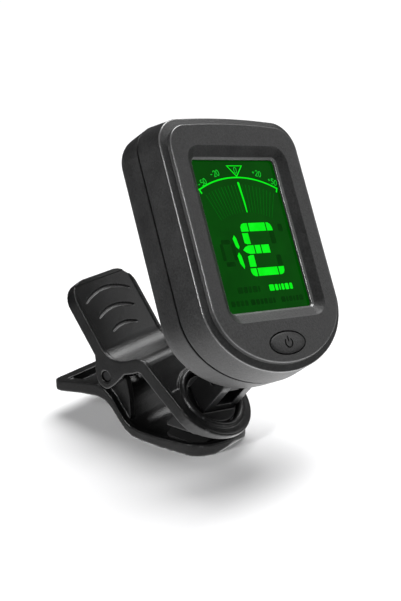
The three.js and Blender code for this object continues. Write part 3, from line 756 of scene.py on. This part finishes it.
def room():
    """A dark room that grows bright below the horizon."""
    world = bpy.data.worlds.new("studio")
    bpy.context.scene.world = world
    world.use_nodes = True
    world.cycles.sampling_method = "NONE"
    tree = world.node_tree
    where = tree.nodes.new("ShaderNodeTexCoord")
    axes = tree.nodes.new("ShaderNodeSeparateXYZ")
    tree.links.new(where.outputs["Generated"], axes.inputs[0])
    down = tree.nodes.new("ShaderNodeMath")
    down.operation = "MULTIPLY"
    down.inputs[1].default_value = -1.0
    tree.links.new(axes.outputs["Z"], down.inputs[0])
    ramp = tree.nodes.new("ShaderNodeValToRGB")
    greys = ((0.0, 0.015), (0.2, 0.03), (0.4, 0.09), (0.54, 0.35), (0.68, 1.0))
    fill_ramp(ramp, [(place, (grey, grey, grey)) for place, grey in greys])
    tree.links.new(down.outputs[0], ramp.inputs["Fac"])
    bg = tree.nodes["Background"]
    tree.links.new(ramp.outputs["Color"], bg.inputs["Color"])
    bg.inputs["Strength"].default_value = 2.6


def lamp(name, kind, toward, distance, power):
    """A lamp that shines at the middle of the clip from the given direction."""
    light = bpy.data.lights.new(name, kind)
    light.energy = power
    ob = show(name, light)
    d = Vector(toward).normalized()
    ob.location = Vector((0, 0, 0.03)) + d * distance
    ob.rotation_euler = d.to_track_quat("Z", "Y").to_euler()
    ob.visible_camera = False
    return light


def lamps():
    """A wide soft sun from above, a panel for the head's face, and a strip for the left edges."""
    sky = lamp("sky_soft", "SUN", (0.45, 0.14, 0.88), 1.0, 3.8)
    sky.angle = math.radians(46)
    for name, toward, distance, power, size in (
            ("face_soft", (0.62, -0.68, 0.38), 0.6, 1.0, (0.34, 0.34)),
            ("edge_line", (-0.918, 0.076, 0.387), 0.5, 1.5, (0.06, 0.2))):
        light = lamp(name, "AREA", toward, distance, power)
        light.shape, light.size, light.size_y = "RECTANGLE", *size


def camera():
    cam = bpy.data.cameras.new("camera")
    cam.lens = 68.9
    cam.clip_start, cam.clip_end = 0.01, 10
    ob = show("camera", cam)
    az, el = math.radians(-52.117), math.radians(19.105)
    back = Vector((math.sin(az) * math.cos(el), -math.cos(az) * math.cos(el), math.sin(el)))
    right = Vector((math.cos(az), math.sin(az), 0))
    rot = Matrix((right, back.cross(right), back)).transposed().to_4x4()
    ob.matrix_world = Matrix.Translation(Vector((-170.93, -133.95, 104.78)) * MM) @ rot
    bpy.context.scene.camera = ob


# ------------------------------------------------------------------ build
camera()
floor_and_wall()
room()
lamps()
front_shell()
rear_shell()
cover_panel()
button_cap()
scale_marks()
figure("figure_centre", "0", (0.3, 13.3), 0, 1.25, 0.16)
for name, text, at, turn in (("figure_minus_50", "-50", (-9.2, 10.75), 22),
                             ("figure_minus_20", "-20", (-5.4, 12.6), 12),
                             ("figure_plus_20", "+20", (5.9, 12.65), -12),
                             ("figure_plus_50", "+50", (9.75, 10.9), -22)):
    figure(name, text, at, turn, 1.15, 0.17)
note_figure()
mode_bars()
for ob in marks_made:
    finish_piece(ob, "head", "display")
spring_coil()

PAINT = (
    (display_mat, ("display_lens", "lcd_panel")),
    (guide_mat, ("backlight",)),
    (frame_mat, ("display_frame",)),
    (strip_mat, ("lcd_connector",)),
    (board_mat, ("circuit_board",)),
    (chip_mat, ("controller_chip",)),
    (steel_mat, ("power_switch", "coin_cell", "swivel_screw", "case_screw_1", "case_screw_2",
                 "case_screw_3", "case_screw_4")),
    (brass_mat, ("battery_contact_side", "battery_contact_floor", "piezo_disc")),
    (dark_steel_mat, ("hinge_pin", "tilt_pin")),
    (clip_mat, ("upper_jaw", "lower_jaw")),
    (fork_mat, ("tilt_knuckle",)),
    (rubber_mat, ("upper_grip_pad", "lower_grip_pad")),
)
for mat, names in PAINT:
    for name in names:
        paint(name, mat)
ROUNDING = (("upper_jaw", 0.15, 5), ("lower_jaw", 0.16, 5), ("tilt_knuckle", 0.13, 4))
for name, voxel, passes in ROUNDING:
    rounded(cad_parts[name], voxel, passes)

bpy.context.scene.view_settings.view_transform = "Standard"
